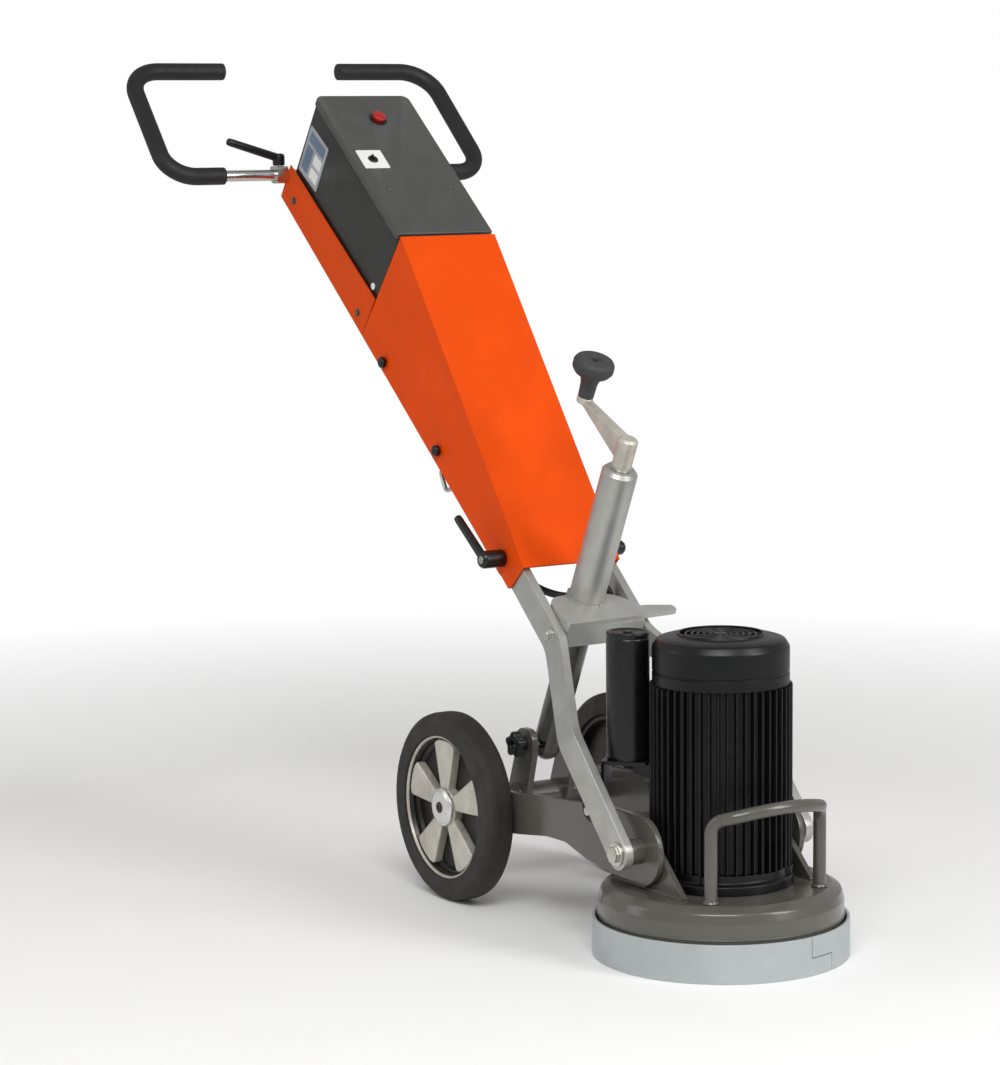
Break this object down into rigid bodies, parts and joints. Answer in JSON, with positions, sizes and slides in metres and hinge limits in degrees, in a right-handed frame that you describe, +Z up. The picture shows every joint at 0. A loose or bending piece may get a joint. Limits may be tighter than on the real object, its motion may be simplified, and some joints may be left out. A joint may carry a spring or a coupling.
{
  "type": "walk-behind floor grinder",
  "caption": "Walk-behind floor grinder: motor over a skirted disc, wheeled chassis with crank jack, folding sheet mast, control box and tilting D-handles.",
  "frame": {"origin": "on the floor under the middle of the machine's overall box", "axes": "+X from the wheels towards the grinding head, +Y to the operator's left, +Z up"},
  "size_m": [1.3014, 0.543, 1.1123],
  "materials": {
    "tyre_rubber": "matte",
    "cast_rim": "cast",
    "zinc_steel": "zinc plated",
    "chassis_paint": "gloss",
    "motor_paint": "semi-gloss",
    "silver_paint": "satin",
    "orange_paint": "semi-gloss",
    "mast_steel": "satin",
    "skirt_plastic": "matte",
    "steel_laminations": "laminated",
    "tool_steel": "machined",
    "diamond_segment": "rough",
    "cast_crank": "cast",
    "black_plastic": "satin",
    "grey_plastic": "satin",
    "red_plastic": "gloss",
    "bright_tube": "polished",
    "foam_grip": "foam",
    "cable_rubber": "matte"
  },
  "bodies": {
    "frame": {"head_cover": "chassis_paint", "carry_handle": "chassis_paint", "motor_flange": "motor_paint", "motor_housing": "motor_paint", "stator": "steel_laminations", "motor_top_shield": "motor_paint", "fan_cover": "motor_paint", "capacitor_case": "black_plastic", "capacitor_bracket": "silver_paint", "terminal_box": "motor_paint", "arm_right": "silver_paint", "arm_left": "silver_paint", "tie_bolt": "zinc_steel", "cross_tube": "silver_paint", "jack_plate": "silver_paint", "jack_outer_tube": "silver_paint", "pivot_bolt_right": "zinc_steel", "pivot_bolt_left": "zinc_steel", "motor_cable": "cable_rubber"},
    "skirt": {"skirt_band": "skirt_plastic"},
    "rotor": {"rotor_shaft": "steel_laminations", "cooling_fan": "black_plastic", "tool_plate": "tool_steel", "diamond_shoe_1": "diamond_segment", "diamond_shoe_2": "diamond_segment", "diamond_shoe_3": "diamond_segment"},
    "chassis": {"axle": "zinc_steel", "axle_beam": "chassis_paint", "chassis_rail_right": "chassis_paint", "chassis_rail_left": "chassis_paint", "rail_cross_plate": "chassis_paint", "jack_pin": "zinc_steel"},
    "wheel_right": {"tyre_right": "tyre_rubber", "rim_right": "cast_rim"},
    "wheel_left": {"tyre_left": "tyre_rubber", "rim_left": "cast_rim"},
    "lock_knob": {"lock_knob": "black_plastic"},
    "jack_slider": {"jack_inner_tube": "chassis_paint"},
    "crank": {"crank_screw": "zinc_steel", "crank_arm": "cast_crank"},
    "crank_knob": {"crank_knob": "black_plastic"},
    "mast": {"mast_channel": "mast_steel", "lower_cover": "orange_paint", "upper_tray": "orange_paint", "control_box": "grey_plastic", "box_lid": "grey_plastic", "contactor": "black_plastic", "cover_screw_1": "black_plastic", "cover_screw_2": "black_plastic", "cable_hook": "zinc_steel", "hinge_bolt": "black_plastic", "handle_clamp": "zinc_steel"},
    "fold_lever": {"fold_clamp_lever": "black_plastic"},
    "handle_lever": {"handle_clamp_lever": "black_plastic"},
    "handle": {"handle_tube": "bright_tube", "grip_right": "foam_grip", "grip_left": "foam_grip"},
    "stop_button": {"stop_button": "red_plastic"},
    "switch": {"rotary_switch": "black_plastic"}
  },
  "joints": [
    {"name": "skirt_float", "type": "slide", "parent": "frame", "child": "skirt", "axis": [0, 0, 1], "range_m": [0, 0.008]},
    {"name": "rotor_spin", "type": "hinge", "parent": "frame", "child": "rotor", "pos_m": [0.49136, 0, 0.2], "axis": [0, 0, 1], "continuous": true},
    {"name": "chassis_pivot", "type": "hinge", "parent": "frame", "child": "chassis", "pos_m": [0.47336, 0, 0.137], "axis": [0, 1, 0], "range_deg": [-3.5, 3.5]},
    {"name": "wheel_right_spin", "type": "hinge", "parent": "chassis", "child": "wheel_right", "pos_m": [0.07136, -0.1335, 0.125], "axis": [0, 1, 0], "continuous": true},
    {"name": "wheel_left_spin", "type": "hinge", "parent": "chassis", "child": "wheel_left", "pos_m": [0.07136, 0.1335, 0.125], "axis": [0, 1, 0], "continuous": true},
    {"name": "lock_knob_turn", "type": "hinge", "parent": "chassis", "child": "lock_knob", "pos_m": [0.09584, -0.048, 0.20202], "axis": [0, 1, 0], "range_deg": [0, 720]},
    {"name": "jack_slide", "type": "slide", "parent": "frame", "child": "jack_slider", "axis": [0.4214, 0, 0.9069], "range_m": [-0.0226, 0.0226]},
    {"name": "crank_turn", "type": "hinge", "parent": "frame", "child": "crank", "pos_m": [0.08236, 0, 0.173], "axis": [0.4214, 0, 0.9069], "range_deg": [-1620, 1620]},
    {"name": "crank_knob_spin", "type": "hinge", "parent": "crank", "child": "crank_knob", "pos_m": [0.19161, 0, 0.66918], "axis": [0.4214, 0, 0.9069], "continuous": true},
    {"name": "mast_fold", "type": "hinge", "parent": "frame", "child": "mast", "pos_m": [0.10736, 0, 0.455], "axis": [0, 1, 0], "range_deg": [-20, 5], "deforming": ["motor_cable"]},
    {"name": "fold_lever_turn", "type": "hinge", "parent": "mast", "child": "fold_lever", "pos_m": [0.10736, -0.09, 0.455], "axis": [0, 1, 0], "range_deg": [-20, 70]},
    {"name": "handle_tilt", "type": "hinge", "parent": "mast", "child": "handle", "pos_m": [-0.48704, 0, 0.9487], "axis": [0, 1, 0], "range_deg": [-60, 60]},
    {"name": "handle_lever_turn", "type": "hinge", "parent": "mast", "child": "handle_lever", "pos_m": [-0.48704, -0.085, 0.962], "axis": [0, 0, 1], "range_deg": [-60, 60]},
    {"name": "stop_button_press", "type": "slide", "parent": "mast", "child": "stop_button", "axis": [-0.6312, 0, -0.7757], "range_m": [0, 0.003], "stiffness_N_per_m": 800, "springref_m": -0.001},
    {"name": "switch_turn", "type": "hinge", "parent": "mast", "child": "switch", "pos_m": [-0.28055, -0.045, 0.97111], "axis": [0.6312, 0, 0.7757], "range_deg": [-45, 45]}
  ],
  "couplings": [
    {"joint": "jack_slide", "follows": "crank_turn", "m_per_rad": 0.00079577},
    {"joint": "chassis_pivot", "follows": "crank_turn", "ratio": 0.0021519}
  ]
}
